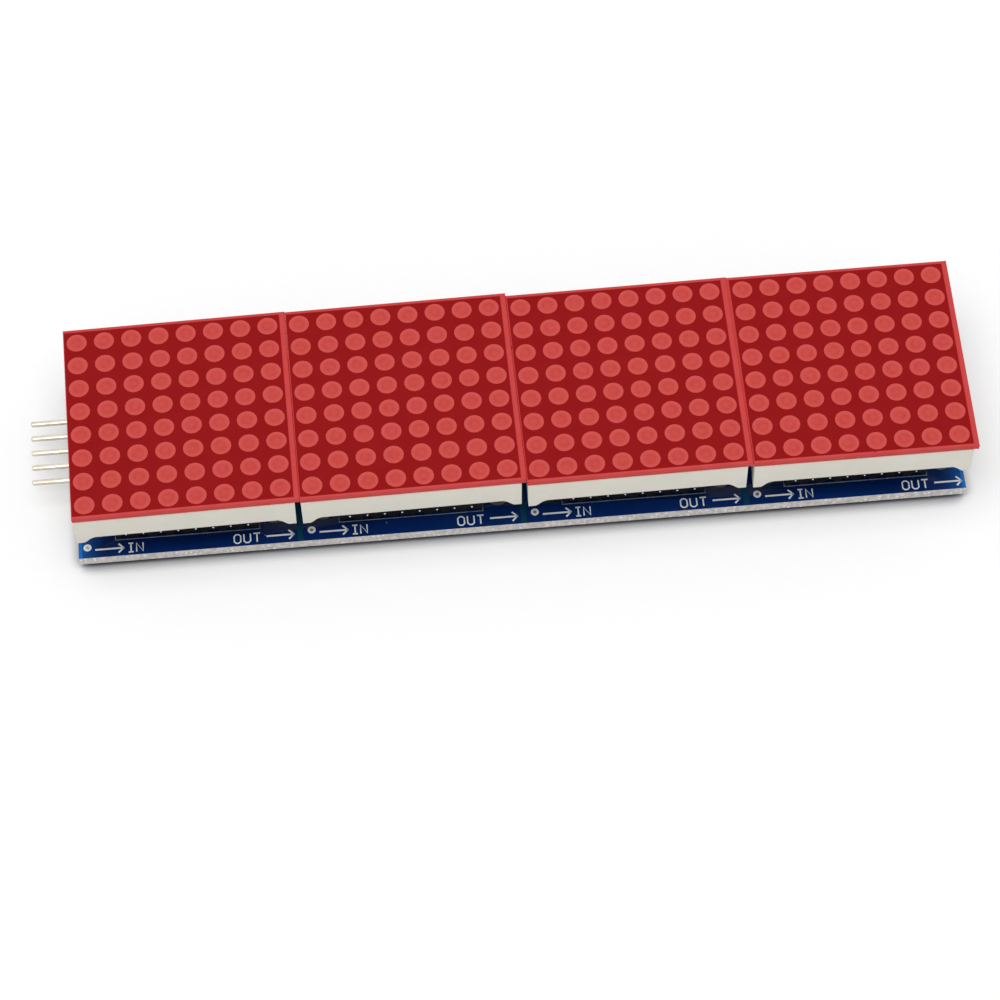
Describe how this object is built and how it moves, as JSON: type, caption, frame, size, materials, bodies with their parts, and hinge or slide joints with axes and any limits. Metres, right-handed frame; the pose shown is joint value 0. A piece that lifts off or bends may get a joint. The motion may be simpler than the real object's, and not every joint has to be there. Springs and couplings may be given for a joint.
{
  "type": "led dot matrix",
  "caption": "Cascaded LED dot-matrix display: square red dot matrices plugged side by side into sockets on a long blue circuit board, with a side input header.",
  "frame": {"origin": "middle of the rectangle of corner mounting holes, on the circuit board's underside", "axes": "+X along the board from the input header to the output end, +Y towards the rear long edge, +Z out of the display faces"},
  "size_m": [0.1367, 0.0332, 0.0143],
  "materials": {
    "solder_mask": "glossy deep-blue solder mask on glass-fibre laminate",
    "black_plastic": "satin black moulded nylon",
    "tinned_pin": "bright tin plate with a warm cast",
    "solder": "smooth bright solder",
    "capacitor_ceramic": "fired brown ceramic with tinned ends",
    "resistor_glaze": "black glaze with tinned ends",
    "chip_epoxy": "matt moulding compound",
    "tinned_lead": "matt tin plate",
    "contact_metal": "thinly gilt spring bronze",
    "cream_plastic": "satin off-white moulded plastic",
    "emitter_laminate": "bare glass-fibre laminate",
    "led_die": "polished die",
    "potting_resin": "cast off-white resin",
    "red_lens": "milky red resin, satin",
    "red_face": "dark red moulded face with a satin sheen"
  },
  "bodies": {
    "root": {"circuit_board": "solder_mask", "input_header": "black_plastic", "input_pins": "tinned_pin", "header_solder": "solder", "bypass_capacitors": "capacitor_ceramic", "bulk_capacitors": "capacitor_ceramic", "set_resistors": "resistor_glaze", "driver_chip_1": "chip_epoxy", "driver_chip_2": "chip_epoxy", "driver_chip_3": "chip_epoxy", "driver_chip_4": "chip_epoxy", "driver_leads_1": "tinned_lead", "driver_leads_2": "tinned_lead", "driver_leads_3": "tinned_lead", "driver_leads_4": "tinned_lead", "socket_front_1": "black_plastic", "socket_front_2": "black_plastic", "socket_front_3": "black_plastic", "socket_front_4": "black_plastic", "socket_rear_1": "black_plastic", "socket_rear_2": "black_plastic", "socket_rear_3": "black_plastic", "socket_rear_4": "black_plastic", "socket_contacts_1": "contact_metal", "socket_contacts_2": "contact_metal", "socket_contacts_3": "contact_metal", "socket_contacts_4": "contact_metal", "solder_joints_1": "solder", "solder_joints_2": "solder", "solder_joints_3": "solder", "solder_joints_4": "solder", "housing_1": "cream_plastic", "housing_2": "cream_plastic", "housing_3": "cream_plastic", "housing_4": "cream_plastic", "emitter_board_1": "emitter_laminate", "emitter_board_2": "emitter_laminate", "emitter_board_3": "emitter_laminate", "emitter_board_4": "emitter_laminate", "led_dies_1": "led_die", "led_dies_2": "led_die", "led_dies_3": "led_die", "led_dies_4": "led_die", "potting_1": "potting_resin", "potting_2": "potting_resin", "potting_3": "potting_resin", "potting_4": "potting_resin", "matrix_pins_1": "tinned_pin", "matrix_pins_2": "tinned_pin", "matrix_pins_3": "tinned_pin", "matrix_pins_4": "tinned_pin", "dot_lenses_1": "red_lens", "dot_lenses_2": "red_lens", "dot_lenses_3": "red_lens", "dot_lenses_4": "red_lens", "face_cover_1": "red_face", "face_cover_2": "red_face", "face_cover_3": "red_face", "face_cover_4": "red_face"}
  },
  "joints": []
}
